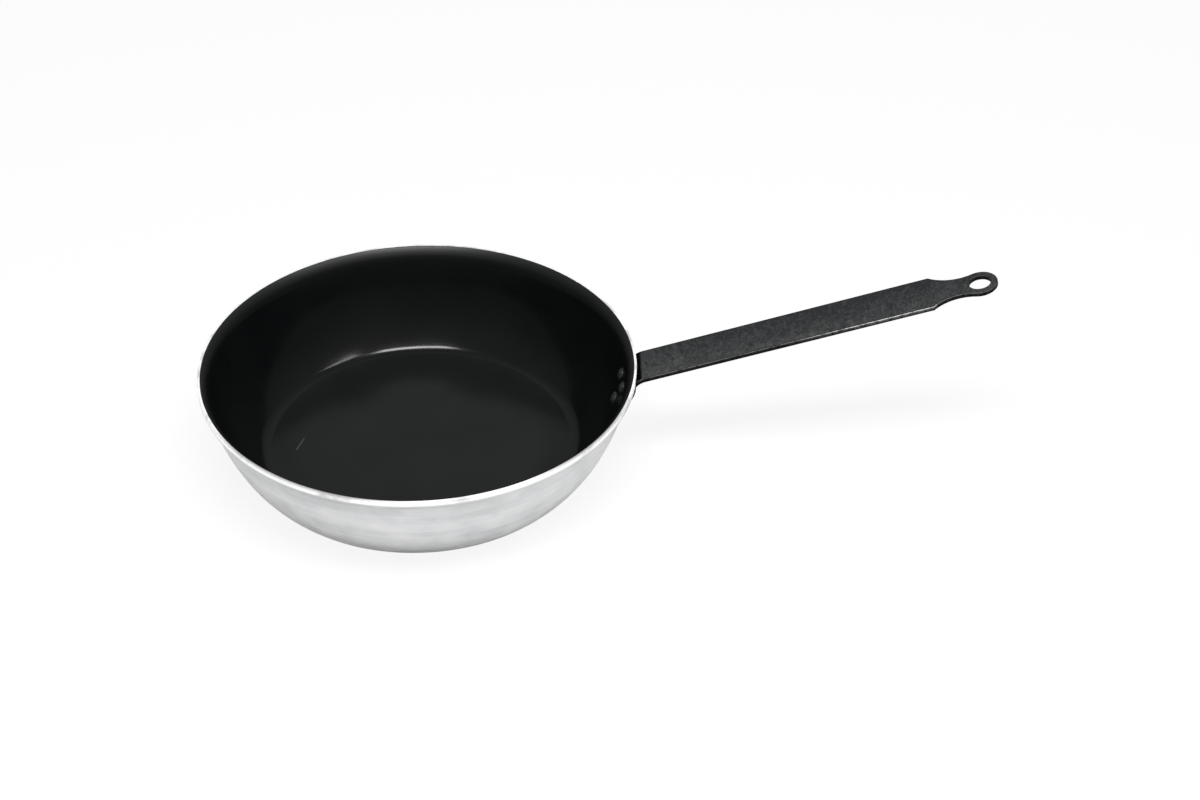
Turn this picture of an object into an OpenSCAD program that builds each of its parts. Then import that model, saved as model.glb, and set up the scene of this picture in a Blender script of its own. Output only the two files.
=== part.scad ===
// Omelette pan: turned aluminium body, black lining, riveted steel strip handle.
// Origin on the pan's axis at the underside of the base, Z up, handle along +X. Millimetres.

/* [View] */
// which node to draw, or all of them

/* [Pan body] */
// outside diameter over the rim
pan_d = 280; // [180:1:360]
// height from the underside to the top of the rim
pan_h = 69; // [58:0.5:110]
// thickness of the floor with its lining
base_t = 6; // [3:0.1:12]
// thickness of the wall near the rim with its lining
wall_t = 4; // [2:0.1:8]
// width of the bare flat ring on top of the rim
land_w = 1.6; // [0.5:0.1:4]
// radius of the wide lip that flares towards the rim
lip_r = 22.3; // [14:0.1:32]
// slope at which the lining meets the bare ring
lip_angle = 42; // [36:1:50]
// slope of the straight upper wall
wall_angle = 71; // [62:0.5:80]
// slope where the middle curve meets the lower curve
mid_angle = 60; // [50:1:65]
// slope where the lower curve meets the floor fillet
low_angle = 45; // [30:1:50]
// radius of the middle curve of the wall
mid_r = 126; // [60:1:200]
// radius of the lower curve of the wall
low_r = 81; // [40:1:120]
// radius of the fillet round the floor
floor_r = 11; // [5:0.5:20]
// radius of the outside corner under the base
corner_r = 9; // [3:0.5:20]

/* [Lining] */
// thickness of the lining
lining_t = 0.3; // [0.1:0.05:1]

/* [Handle] */
// thickness of the steel strip
strip_t = 3.2; // [2:0.1:6]
// strip width at the pan
root_w = 30.4; // [16:0.1:36]
// strip width at the shoulders
end_w = 31.8; // [16:0.1:40]
// rise of the shank above the horizontal
rise = 16.3; // [5:0.1:30]
// drop of the shank's top face below the rim where it leaves the pan
drop = 3.2; // [2.8:0.1:8]
// distance from the rim at which the drop is measured
drop_at = 1; // [0:0.5:4]
// radius inside the bend
bend_r = 8.6; // [6:0.1:12]
// length of the straight shank, from the rim to where its end dips
shank_l = 190; // [100:1:260]
// half width of the waist behind the eyelet
waist_w = 9; // [6:0.5:12]
// radius of the hollow between shoulder and eyelet
hollow_r = 27; // [20:1:45]
// distance from the start of the dip to the centre of the eyelet
eye_l = 32.7; // [26:0.1:44]
// outside radius of the eyelet
eye_r = 11.3; // [9.5:0.1:15]
// radius of the hanging hole
hole_r = 7; // [4:0.1:8.5]
// downward dip of the end of the handle
dip = 3; // [0:0.5:6]
// radius of the dip
dip_r = 60; // [30:5:120]

/* [Flange] */
// half width between the centres of the flange's upper corners
ear_y = 21.3; // [14:0.1:24]
// radius of the upper corners
ear_r = 1.2; // [1:0.1:6]
// depth of the flange's top edge below the rim
ear_depth = 8.6; // [6:0.1:12]
// radius of the flange's lower end
toe_r = 9; // [6:0.5:12]
// how far the flange's top follows the flare of the lip, in degrees
flange_bend = 19; // [12:1:24]
// how far the flange's lower end is centred below the lower rivet
toe_below = 0.4; // [-1:0.1:3]

/* [Rivets] */
// shank diameter
rivet_d = 5; // [3:0.1:7]
// diameter of the heads inside the pan
head_d = 8.6; // [7:0.1:12]
// height of the heads inside the pan
head_h = 2; // [0.8:0.1:3]
// diameter of the heads on the flange
tail_d = 8.8; // [7:0.1:12]
// height of the heads on the flange
tail_h = 2.2; // [1:0.1:4]
// spacing of the upper pair
pair_w = 14.8; // [11:0.1:24]
// depth of the upper pair below the rim
upper_depth = 14.9; // [12:0.1:18]
// depth of the lower rivet below the rim
lower_depth = 28.4; // [24:0.1:34]
// gap round each shank in its holes
rivet_gap = 0.1; // [0:0.05:0.3]

/* [Hidden] */
$fn = 96;
// overlap of cutters past the faces that they cut
over = 1;
// straight pieces in each of the arcs below
corner_steps = 6;
fillet_steps = 9;
low_steps = 8;
mid_steps = 7;
lip_steps = 10;
bend_steps = 14;
dip_steps = 4;
rim_r = pan_d / 2;
top_r = rim_r - land_w;
drop_x = rim_r + drop_at;

// heights of the stacked curves, from the rim down
lip_h = lip_r * (cos(lip_angle) - cos(wall_angle));
mid_h = mid_r * (cos(mid_angle) - cos(wall_angle));
low_h = low_r * (cos(low_angle) - cos(mid_angle));
fillet_h = floor_r * (1 - cos(low_angle));
straight_h = pan_h - base_t - lip_h - mid_h - low_h - fillet_h;

// joints between the curves as radius and height
a_r = top_r - lip_r * (sin(wall_angle) - sin(lip_angle));
a_z = pan_h - lip_h;
b_r = a_r - straight_h / tan(wall_angle);
b_z = a_z - straight_h;
c_r = b_r - mid_r * (sin(wall_angle) - sin(mid_angle));
c_z = b_z - mid_h;
d_r = c_r - low_r * (sin(mid_angle) - sin(low_angle));
d_z = c_z - low_h;

// a curve hollow towards the bowl, ending at [r, z] with slope s1
function hollow(r, z, rad, s0, s1, n) = [for (i = [0:n]) let (s = s0 + (s1 - s0) * i / n)
    [r + rad * (sin(s) - sin(s1)), z - rad * (cos(s) - cos(s1)), s]];
// the rounded lip, starting at [r, z] with slope s0
function lip(r, z, rad, s0, s1, n) = [for (i = [0:n]) let (s = s0 + (s1 - s0) * i / n)
    [r + rad * (sin(s0) - sin(s)), z + rad * (cos(s) - cos(s0)), s]];
// the point of the list moved by t square to the surface, into the metal
function moved(p, t) = [p[0] + t * sin(p[2]), p[1] - t * cos(p[2])];
// the list of points moved in the same way
function place(l, t) = [for (p = l) moved(p, t)];
// wall thickness at height z, growing towards the base
function thick(z) = wall_t + (base_t - wall_t) * pow(min(1, (pan_h - z) / (pan_h - d_z)), 2);
// the list in reverse, without its first item, and without its last
function flip(l) = [for (i = [len(l) - 1:-1:0]) l[i]];
function tail_of(l) = [for (i = [1:len(l) - 1]) l[i]];
function front_of(l) = [for (i = [0:len(l) - 2]) l[i]];

// cooking surface from the floor up to the bare ring
fillet_pts = hollow(d_r, d_z, floor_r, 0, low_angle, fillet_steps);
low_pts = hollow(c_r, c_z, low_r, low_angle, mid_angle, low_steps);
mid_pts = hollow(b_r, b_z, mid_r, mid_angle, wall_angle, mid_steps);
lip_pts = lip(a_r, a_z, lip_r, wall_angle, lip_angle, lip_steps);
wall_pts = concat(low_pts, tail_of(mid_pts), lip_pts);
cook_pts = concat(front_of(fillet_pts), wall_pts);

// outside of the wall from the base corner up to the rim
full_pts = [for (p = wall_pts) moved(p, thick(p[1]))];
out_pts = [for (p = full_pts) if (p[0] < rim_r) p];
foot = out_pts[0];
corner_x = foot[0] - foot[1] / tan(low_angle) - corner_r * tan(low_angle / 2);
corner_pts = [for (i = [0:corner_steps]) let (s = low_angle * i / corner_steps)
    [corner_x + corner_r * sin(s), corner_r * (1 - cos(s))]];
// the outside's last point before the rim's upright face, the next one past it, and the slope there
out_top = out_pts[len(out_pts) - 1];
past = full_pts[min(len(out_pts), len(full_pts) - 1)];
rim_slope = past[0] > out_top[0] ? (past[1] - out_top[1]) / (past[0] - out_top[0]) : tan(lip_angle);
// place where the outside meets the upright face of the rim
rim_under = [rim_r, out_top[1] + (rim_r - out_top[0]) * rim_slope];
outer_pts = concat(corner_pts, out_pts, [rim_under, [rim_r, pan_h]]);

// the bend's centre, tangent to the wall and to the shank
full_r = bend_r + strip_t;
wall_at = moved([a_r, a_z, wall_angle], thick(a_z));
k_wall = -wall_at[0] * sin(wall_angle) + wall_at[1] * cos(wall_angle) - full_r;
k_shank = -drop_x * sin(rise) + (pan_h - drop) * cos(rise) - full_r;
bend_det = -sin(wall_angle) * cos(rise) + sin(rise) * cos(wall_angle);
bend_x = (k_wall * cos(rise) - k_shank * cos(wall_angle)) / bend_det;
bend_z = (-sin(wall_angle) * k_shank + sin(rise) * k_wall) / bend_det;
// the bend stops short of the wall's slope by this angle and runs straight on into the flange
sink_turn = 14;
sink_l = 4.5;
sink_angle = wall_angle - sink_turn;
// point of the bend at radius rad, where its slope is s
function bend(rad, s) = [bend_x - rad * sin(s), bend_z + rad * cos(s)];

// shank frame: s along the top face, n square to it
function shank(s, n) =
    [drop_x + s * cos(rise) - n * sin(rise), pan_h - drop + s * sin(rise) + n * cos(rise)];
// point of the dipped end at distance q past the dip
function dipped(q, n) = let (p = shank(shank_l + dip_r * sin(dip), -dip_r * (1 - cos(dip))), g = rise - dip)
    [p[0] + q * cos(g) - n * sin(g), p[1] + q * sin(g) + n * cos(g)];
// stations along the shank: the eyelet, the hollows beside the waist, and where they meet the eyelet
eye_s = shank_l + eye_l;
hollow_y = waist_w + hollow_r;
hollow_s = eye_s - sqrt(pow(hollow_r + eye_r, 2) - pow(hollow_y, 2));
tangent_s = eye_s - (eye_s - hollow_s) * eye_r / (hollow_r + eye_r);
// the eyelet's distance past the dip, and the strip's end past it
eye_q = eye_l - dip_r * sin(dip);
end_l = eye_q + eye_r + over;
// how far the strip's plan runs back from the rim, past the whole bend
plan_back = 2 * full_r + sink_l;

// flange outline: tangent line from the upper corner to the lower end
ear_z = pan_h - ear_depth - ear_r;
toe_z = pan_h - lower_depth - toe_below;
ear_run = sqrt(pow(ear_y, 2) + pow(ear_z - toe_z, 2));
side_a = atan2(ear_z - toe_z, ear_y) - 90 + asin((toe_r - ear_r) / ear_run);
// half the turn that the flange's sheet is swept over, past its upper corners
flange_turn = 1.5 * asin((ear_y + ear_r) / a_r);

// rivet seats on the cooking surface: radius, height, slope
function on_curve(z, r0, z0, rad, s0) = let (s = acos(cos(s0) + (z0 - z) / rad))
    [r0 - rad * (sin(s0) - sin(s)), z, s];
function seat_at(z) = z >= b_z ? [a_r - (a_z - z) / tan(wall_angle), z, wall_angle]
    : z >= c_z ? on_curve(z, b_r, b_z, mid_r, wall_angle) : on_curve(z, c_r, c_z, low_r, mid_angle);
upper_seat = seat_at(pan_h - upper_depth);
lower_seat = seat_at(pan_h - lower_depth);
// angle of each upper rivet from the handle's line
pair_a = asin(pair_w / 2 / upper_seat[0]);
// length of the cutters for the rivets' holes, and the short straight rims under the heads
cutter_l = 2 * (max(base_t, wall_t) + strip_t + over);
head_skirt = 0.4;
tail_skirt = 0.6;

// turned solid of everything inside the body's outside face
module outer_solid() {
    rotate_extrude() polygon(concat([[0, 0]], outer_pts, [[0, pan_h]]));
}

// the space inside the cooking surface
module bowl_space() {
    rotate_extrude()
        polygon(concat([[0, base_t]], place(cook_pts, 0), [[top_r, pan_h + over], [0, pan_h + over]]));
}

// one axis through the wall: az is its direction, seat its place on the cooking surface
module through(az, seat) {
    rotate([0, 0, az]) translate([seat[0], 0, seat[1]]) rotate([0, 180 - seat[2], 0]) children();
}

// holes for the three rivets through lining, wall and flange
module rivet_holes() {
    for (at = [[pair_a, upper_seat], [-pair_a, upper_seat], [0, lower_seat]])
        through(at[0], at[1]) cylinder(h = cutter_l, r = rivet_d / 2 + rivet_gap, center = true);
}

module pan_body() {
    color([0.78, 0.79, 0.80]) difference() {
        rotate_extrude() polygon(concat([[0, 0]], outer_pts, [[top_r, pan_h]],
            flip(place(cook_pts, lining_t)), [[0, base_t - lining_t]]));
        rivet_holes();
    }
}

module nonstick_coating() {
    color([0.06, 0.06, 0.06]) difference() {
        rotate_extrude() polygon(concat([[0, base_t - lining_t]], place(cook_pts, lining_t),
            flip(place(cook_pts, 0)), [[0, base_t]]));
        rivet_holes();
    }
}

// side view of the bend, the shank and the dipped end
module strip_side() {
    low_end = [for (r = [full_r, bend_r])
        bend(r, sink_angle) - sink_l * [cos(sink_angle), sin(sink_angle)]];
    slopes = [for (i = [0:bend_steps]) sink_angle + (rise - sink_angle) * i / bend_steps];
    dips = [for (i = [0:dip_steps]) dip * i / dip_steps];
    under_r = dip_r - strip_t;
    top = concat([low_end[0]], [for (s = slopes) bend(full_r, s)],
        [for (a = dips) shank(shank_l + dip_r * sin(a), -dip_r * (1 - cos(a)))], [dipped(end_l, 0)]);
    under = concat([low_end[1]], [for (s = slopes) bend(bend_r, s)],
        [for (a = dips) shank(shank_l + under_r * sin(a), -strip_t - under_r * (1 - cos(a)))],
        [dipped(end_l, -strip_t)]);
    polygon(concat(top, flip(under)));
}

// plan view of the strip in the shank's own frame
module strip_plan() {
    half_at_end = root_w / 2 + (end_w - root_w) / 2 * tangent_s / shank_l;
    difference() {
        union() {
            polygon([[-plan_back, -root_w / 2], [0, -root_w / 2], [tangent_s, -half_at_end],
                [tangent_s, half_at_end], [0, root_w / 2], [-plan_back, root_w / 2]]);
            translate([eye_s, 0]) circle(r = eye_r);
        }
        for (side = [-1, 1]) translate([hollow_s, side * hollow_y]) circle(r = hollow_r);
    }
}

// outline of the flange, seen along the handle from outside
module flange_outline() {
    for (side = [-1, 1]) translate([side * ear_y, ear_z]) circle(r = ear_r);
    translate([0, toe_z]) circle(r = toe_r);
    ear_side = [ear_y + ear_r * cos(side_a), ear_z + ear_r * sin(side_a)];
    toe_side = [toe_r * cos(side_a), toe_z + toe_r * sin(side_a)];
    polygon([[-ear_y, ear_z + ear_r], [ear_y, ear_z + ear_r], ear_side, toe_side,
        [-toe_side[0], toe_side[1]], [-ear_side[0], ear_side[1]]]);
}

// points of the wall from well below the flange to the underside of the lip above it
shell_pts = concat(low_pts, tail_of(mid_pts), [for (p = lip_pts) if (p[2] > wall_angle - flange_bend) p]);

// wall and flange swept about the pan's axis, from the inside points to the flange's outer face
module swept_sheet(inside) {
    rotate([0, 0, -flange_turn]) rotate_extrude(angle = 2 * flange_turn)
        polygon(concat(inside, flip([for (p = shell_pts) moved(p, thick(p[1]) + strip_t)])));
}

module flange() {
    intersection() {
        swept_sheet([for (p = shell_pts) moved(p, thick(p[1]) - over)]);
        translate([rim_r / 2, 0, 0]) rotate([90, 0, 90]) linear_extrude(height = rim_r) flange_outline();
    }
}

module handle() {
    color([0.16, 0.16, 0.17]) difference() {
        union() {
            flange();
            intersection() {
                rotate([90, 0, 0]) linear_extrude(height = 2 * end_w, center = true) strip_side();
                translate([drop_x, 0, pan_h - drop]) rotate([0, -rise, 0])
                    linear_extrude(height = 2 * plan_back, center = true) strip_plan();
            }
        }
        outer_solid();
        rivet_holes();
        translate([dipped(eye_q, 0)[0], 0, dipped(eye_q, 0)[1]]) rotate([0, dip - rise, 0])
            cylinder(h = 4 * strip_t, r = hole_r, center = true);
    }
}

// domed head of diameter d and height h standing on the plane z = 0 with a short skirt below it
module dome(d, h, skirt) {
    ball = (d * d / 4 + h * h) / (2 * h);
    intersection() {
        translate([0, 0, h - ball]) sphere(r = ball);
        cylinder(h = h + over, r = d / 2 + over);
    }
    translate([0, 0, -skirt]) cylinder(h = skirt, r = d / 2);
}

// one rivet: head on the lining, shank through the holes, domed head on the flange
module rivet(az, seat) {
    reach = thick(seat[1]) + strip_t;
    color([0.35, 0.35, 0.36]) {
        intersection() {
            through(az, seat) rotate([180, 0, 0]) dome(head_d, head_h, head_skirt);
            bowl_space();
        }
        difference() {
            through(az, seat) translate([0, 0, reach]) dome(tail_d, tail_h, tail_skirt);
            swept_sheet(place(shell_pts, over));
        }
        through(az, seat) translate([0, 0, -head_h / 2])
            cylinder(h = reach + head_h / 2 + tail_h / 2, r = rivet_d / 2);
    }
}

module rivet_upper_left() { rivet(pair_a, upper_seat); }

module rivet_upper_right() { rivet(-pair_a, upper_seat); }

module rivet_lower() { rivet(0, lower_seat); }

pan_body();
nonstick_coating();
handle();
rivet_upper_left();
rivet_upper_right();
rivet_lower();
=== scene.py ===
"""Looks of the omelette pan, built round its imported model.

The frame is the model's own: metres, origin on the pan's axis at the underside of the base,
Z up, handle along +X. Sizes named below are in millimetres, as in the part's source, and a
mesh is turned to metres when it is made. Materials read metres, so the places where a finish
starts and ends are in metres.
"""

import bmesh
import bpy
import numpy as np
from mathutils import Matrix, Vector


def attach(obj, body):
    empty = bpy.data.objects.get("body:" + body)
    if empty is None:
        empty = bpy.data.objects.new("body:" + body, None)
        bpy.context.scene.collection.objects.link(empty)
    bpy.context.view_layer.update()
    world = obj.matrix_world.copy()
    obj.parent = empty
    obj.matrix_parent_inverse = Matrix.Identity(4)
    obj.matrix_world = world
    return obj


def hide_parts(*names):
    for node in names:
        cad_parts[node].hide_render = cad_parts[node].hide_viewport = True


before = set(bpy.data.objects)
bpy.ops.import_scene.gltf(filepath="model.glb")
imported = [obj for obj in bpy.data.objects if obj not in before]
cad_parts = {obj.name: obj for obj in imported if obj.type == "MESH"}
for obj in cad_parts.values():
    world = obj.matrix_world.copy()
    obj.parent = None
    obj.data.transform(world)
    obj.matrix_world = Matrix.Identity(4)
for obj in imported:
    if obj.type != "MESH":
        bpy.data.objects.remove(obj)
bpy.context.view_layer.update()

# Pan body, in millimetres and degrees of slope
RIM_R = 140.0
PAN_H = 69.0
BASE_T = 6.0
WALL_T = 4.0
LAND_W = 1.6
LIP_R = 22.3
LIP_ANGLE = 42.0
WALL_ANGLE = 71.0
MID_ANGLE = 60.0
LOW_ANGLE = 45.0
MID_R = 126.0
LOW_R = 81.0
FLOOR_R = 11.0
CORNER_R = 9.0
RIM_EDGE_R = 0.5
RIM_UNDER_R = 1.2
LINING_T = 0.3

# Handle
STRIP_T = 3.2
ROOT_W = 30.4
END_W = 31.8
RISE = 16.3
DROP = 3.2
DROP_AT = 1.0
BEND_R = 8.6
SHANK_L = 190.0
WAIST_W = 9.0
HOLLOW_R = 27.0
EYE_L = 32.7
EYE_R = 11.3
HOLE_R = 7.0
DIP = 3.0
DIP_R = 60.0
STRIP_EDGE_R = 0.55
HOLE_EDGE_R = 0.25
NECK_R = 1.0
# Where the painted shade in the crook of the bend fades out, along X
CROOK_X = (142.4, 143.0)

# Handle's path: the height it starts at, the shank's first station, the straight past the dip
PATH_FROM_Z = 20.0
SHANK_FROM = 6.0
END_L = 70.0

# Worn line, partly wear and partly painted highlight: how far up its middle faces, and how far round it
# fades by 1, in degrees
WORN_HIGHLIGHT_ANGLE = 28.0
WORN_HIGHLIGHT_SPREAD = 26.0
# Its strength before it is held at 1, and the strength of the lower edge
WORN_HIGHLIGHT_PEAK = 1.3
WORN_HIGHLIGHT_BELOW = 0.3

# Flange of the handle on the wall
EAR_Y = 21.3
EAR_R = 1.2
EAR_DEPTH = 8.6
TOE_R = 9.0
TOE_BELOW = 0.4

# Rivets
RIVET_D = 5.0
HEAD_D = 8.6
HEAD_H = 2.0
TAIL_D = 8.8
TAIL_H = 2.2
RIVET_EDGE_R = 0.35
HEAD_SUNK = 0.4
TAIL_SUNK = 0.6
PAIR_W = 14.8
UPPER_DEPTH = 14.9
LOWER_DEPTH = 28.4

# Camera, from the photograph: focal length and rim centre in its pixels, angles in degrees
PHOTO_SIZE = (1200.0, 800.0)
FOCAL_PX = 2690.0
CAMERA_PITCH = 36.71
CAMERA_AZIMUTH = -1.5
RIM_DEPTH = 1.718
RIM_PIXEL = (417.72, 365.11)
SENSOR_MM = 36.0

# Most of a noise lies in this range
NOISE_RANGE = (0.3, 0.7)
WHITE = (1, 1, 1, 1)

# Turned wall and rim: tones are a ramp of (place from 0 to 1, colour)
WALL_TONES = ((0.34, (0.53, 0.537, 0.542)), (0.5, (0.64, 0.645, 0.65)), (0.66, (0.73, 0.727, 0.73)))
RIM_TONES = ((0.36, (0.62, 0.62, 0.62)), (0.46, (0.96, 0.96, 0.96)))
WALL_ROUGH = (0.34, 0.44)
WALL_ANISOTROPIC = 0.6
# Painted shade on the wall under the rim
UPPER_WALL_PAINTED_SHADE = -0.10
# Painted shade at the wall's foot
FOOT_PAINTED_SHADE = (0.30, 0.30, 0.30)
FOOT_PAINTED_SHADE_SHARE = 0.7
# Painted shade in stretches on the rim's top
LAND_PAINTED_SHADE = (0.30, 0.30, 0.30)
LAND_PAINTED_SHADE_SHARES = (1.0, 0.5)
LAND_METALLIC = 0.2
# Heights and radii where a finish or a painted shade starts and ends, in metres
UPPER_WALL_Z = (0.046, 0.060)
FOOT_R = (0.094, 0.099)
FOOT_Z = (0.0022, 0.0065)
RIM_CUT_R = (0.1368, 0.1372)
RIM_CUT_Z = (0.0658, 0.0662)
LAND_R = (0.1385, 0.1397)
LAND_Z = (0.0686, 0.0688)
# Stretches of painted shade on the rim's top, as (azimuth, half width), and how softly they end, in
# degrees
LAND_PAINTED_SHADE_SIDES = ((-122, 25), (-37, 15))
LAND_PAINTED_SHADE_FADE = 7

# Lining
LINING_WALL_TONES = ((0.35, (0.0030, 0.0034, 0.0036)), (0.65, (0.0042, 0.0046, 0.0048)))
# The floor's tones are painted paler than the wall's, as light
LINING_FLOOR_PAINTED_LIGHT_TONES = ((0.35, (0.0078, 0.0088, 0.0088)), (0.65, (0.0096, 0.0107, 0.0106)))
# Painted sheen where the lining ends at the rim
LINING_EDGE_PAINTED_SHEEN = (0.015, 0.016, 0.017)
LINING_IOR = 1.35
LINING_ROUGH = (0.15, 0.18)
LINING_EDGE_ROUGHER = 0.2
# Share of painted shade round the floor's edge
LINING_FLOOR_SHADE_SHARE = 0.45
# Radii, and places across the handle's line, where a finish, painted shade or painted sheen starts and
# ends, in metres
LINING_FLOOR_SHADE_R = (0.076, 0.088)
LINING_FLOOR_SHADE_Y = (0.02, 0.06)
LINING_CREASE_R = (0.098, 0.104)
LINING_ROUGH_R = (0.1334, 0.1346)
LINING_SHEEN_R = (0.1342, 0.1384)
# Scratch: its two ends, and how far off it starts and stops fading, in metres
SCRATCH = ((-0.0811, -0.0045, 0), (-0.0770, 0.0070, 0))
SCRATCH_R = (0.0001, 0.0006)
SCRATCH_COLOUR = (0.055, 0.055, 0.055)

# Handle's coat
STEEL_TONES = ((0.36, (0.010, 0.011, 0.012)), (0.5, (0.028, 0.029, 0.030)), (0.66, (0.056, 0.057, 0.058)))
# Painted shade on the sides, in the crook of the bend and at the brink of the top face
STEEL_SHADE = (0.003, 0.003, 0.003)
# Worn line, partly wear and partly painted highlight
STEEL_WORN_AND_HIGHLIGHT = (0.60, 0.60, 0.60)
SCALES_STRETCH = (1.0, 0.6, 1.0)
SCALES_RANGE = (0.35, 0.65)
COAT_ROUGH = (0.40, 0.56)
SHADE_ROUGHER = 0.3
BRINK_SHADE = 0.7
# Painted light added across the handle, and painted shade along it, each after the places where it starts
# and ends
COAT_PAINTED_LIGHT_Y = (-0.015, 0.015)
COAT_PAINTED_LIGHT_TONE = (0.08, -0.09)
COAT_SHANK_X = (0.16, 0.32)
COAT_SHANK_PAINTED_SHADE = (0.02, 0.085)
COAT_EYELET_X = (0.32, 0.345)
COAT_EYELET_PAINTED_SHADE = (0.085, 0.03)
# Worn line with painted highlight: its strength along the shank and past the shoulders, and where it is
# broken
WORN_HIGHLIGHT_SHANK_X = (0.235, 0.29)
WORN_HIGHLIGHT_SHANK = (0.3, 1.4)
WORN_HIGHLIGHT_SHOULDER_X = (0.324, 0.328)
WORN_HIGHLIGHT_SHOULDER = (1.0, 0.2)
WORN_HIGHLIGHT_BREAKS = (0.34, 0.50)
WORN_HIGHLIGHT_BROKEN = (0.35, 1.0)

# Rivets' finish
RIVET_TONES = ((0.35, (0.020, 0.021, 0.022)), (0.65, (0.036, 0.037, 0.038)))
RIVET_ROUGH = (0.32, 0.44)
RIVET_METALLIC = 0.25

# Studio lamps: soft boxes as (name, place, length, width, power), in metres and watts
LAMPS = (
    ("soft box above the front", (0.055, -0.54, 1.5), 0.9, 0.4, 25.5),
    ("soft box on the right", (1.17, -0.40, 1.61), 0.64, 0.2, 5.3),
)

# Sky: brightness at the horizon and high up, and the rise over which it grows
SKY_LOW = 0.06
SKY_HIGH = 0.28
SKY_RISE = (0.0, 0.6)
# Rise over which the white that gloss sees above the horizon fades out
HORIZON_RISE = (0.02, 0.05)

# Floor: half its width, and its height, in metres
FLOOR_HALF = 6.0
FLOOR_Z = -0.0002
FLOOR_COLOUR = (0.92, 0.92, 0.92)
FLOOR_ROUGH = 0.9
# Share of plain white in it, to the camera and to gloss
FLOOR_GLOW = 0.89
FLOOR_GLOSS_GLOW = 0.25

# Steps round the turned pieces and the rivets, and rings of points on the flat base and floor
TURN_STEPS = 288
RIVET_STEPS = 48
BASE_RINGS = (20.0, 50.0, 80.0)
FLOOR_RINGS = (60.0, 30.0)

# Meshes: points closer than the seam gap are merged, and thinner faces are dropped, in metres
SEAM_GAP = 2e-6
THINNEST = 1e-7

# Worked out from the sizes above
TOP_R = RIM_R - LAND_W
DROP_X = RIM_R + DROP_AT
FULL_BEND = BEND_R + STRIP_T


def sind(angle):
    """Sine of an angle in degrees."""
    return np.sin(np.radians(angle))


def cosd(angle):
    """Cosine of an angle in degrees."""
    return np.cos(np.radians(angle))


def tand(angle):
    """Tangent of an angle in degrees."""
    return np.tan(np.radians(angle))


def hollow_arc(r, z, radius, start, end, count):
    """Arc hollow towards the bowl, as rows (r, z, slope), with slope end at the point (r, z).

    It goes out by radius times the sine of its slope, and up by minus radius times the cosine."""
    slope = np.linspace(start, end, count)
    out = r + radius * (sind(slope) - sind(end))
    up = z - radius * (cosd(slope) - cosd(end))
    return np.stack([out, up, slope], 1)


def lip_arc(r, z, radius, start, end, count):
    """Arc rounded over towards the rim, as rows (r, z, slope), with slope start at the point (r, z).

    It goes out by minus radius times the sine of its slope, and up by radius times the cosine."""
    slope = np.linspace(start, end, count)
    out = r + radius * (sind(start) - sind(slope))
    up = z + radius * (cosd(slope) - cosd(start))
    return np.stack([out, up, slope], 1)


def into_metal(rows, depth):
    """Rows (r, z, slope) of the cooking surface, each moved square to it by depth into the metal."""
    return np.stack([rows[:, 0] + depth * sind(rows[:, 2]), rows[:, 1] - depth * cosd(rows[:, 2])], 1)


def arc(centre, radius, start, end, count):
    """Points of a circle round centre, from angle start to angle end in degrees."""
    angle = np.linspace(start, end, count)
    return np.stack([centre[0] + radius * cosd(angle), centre[1] + radius * sind(angle)], 1)


# Joints between the curves of the cooking surface, from the rim down
lip_h = LIP_R * (cosd(LIP_ANGLE) - cosd(WALL_ANGLE))
mid_h = MID_R * (cosd(MID_ANGLE) - cosd(WALL_ANGLE))
low_h = LOW_R * (cosd(LOW_ANGLE) - cosd(MID_ANGLE))
fillet_h = FLOOR_R * (1 - cosd(LOW_ANGLE))
straight_h = PAN_H - BASE_T - lip_h - mid_h - low_h - fillet_h
lip_foot = (TOP_R - LIP_R * (sind(WALL_ANGLE) - sind(LIP_ANGLE)), PAN_H - lip_h)
mid_top = (lip_foot[0] - straight_h / tand(WALL_ANGLE), lip_foot[1] - straight_h)
low_top = (mid_top[0] - MID_R * (sind(WALL_ANGLE) - sind(MID_ANGLE)), mid_top[1] - mid_h)
low_foot = (low_top[0] - LOW_R * (sind(MID_ANGLE) - sind(LOW_ANGLE)), low_top[1] - low_h)

straight = np.linspace(0, 1, 8)[1:-1, None]
straight_points = np.array([mid_top]) * (1 - straight) + np.array([lip_foot]) * straight
straight_rows = np.hstack([straight_points, np.full((len(straight), 1), WALL_ANGLE)])
floor_rows = hollow_arc(*low_foot, FLOOR_R, 0, LOW_ANGLE, 22)
wall_rows = np.vstack(
    [
        hollow_arc(*low_top, LOW_R, LOW_ANGLE, MID_ANGLE, 20)[:-1],
        hollow_arc(*mid_top, MID_R, MID_ANGLE, WALL_ANGLE, 20),
        straight_rows,
        lip_arc(*lip_foot, LIP_R, WALL_ANGLE, LIP_ANGLE, 26),
    ]
)
cook_rows = np.vstack([floor_rows[:-1], wall_rows])


def wall_thickness(z):
    """Thickness of the wall at height z: it grows with the square of the depth below the rim."""
    return WALL_T + (BASE_T - WALL_T) * np.minimum(1, (PAN_H - z) / (PAN_H - low_foot[1])) ** 2


def outside_rows():
    """Outside of the wall, as rows (r, z) up to the rim's upright face, and its slope at its top."""
    outside = into_metal(wall_rows, wall_thickness(wall_rows[:, 1]))
    inside_rim = outside[outside[:, 0] < RIM_R]
    step = outside[len(inside_rim)] - inside_rim[-1]
    return inside_rim, np.degrees(np.arctan2(step[1], step[0]))


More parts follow.
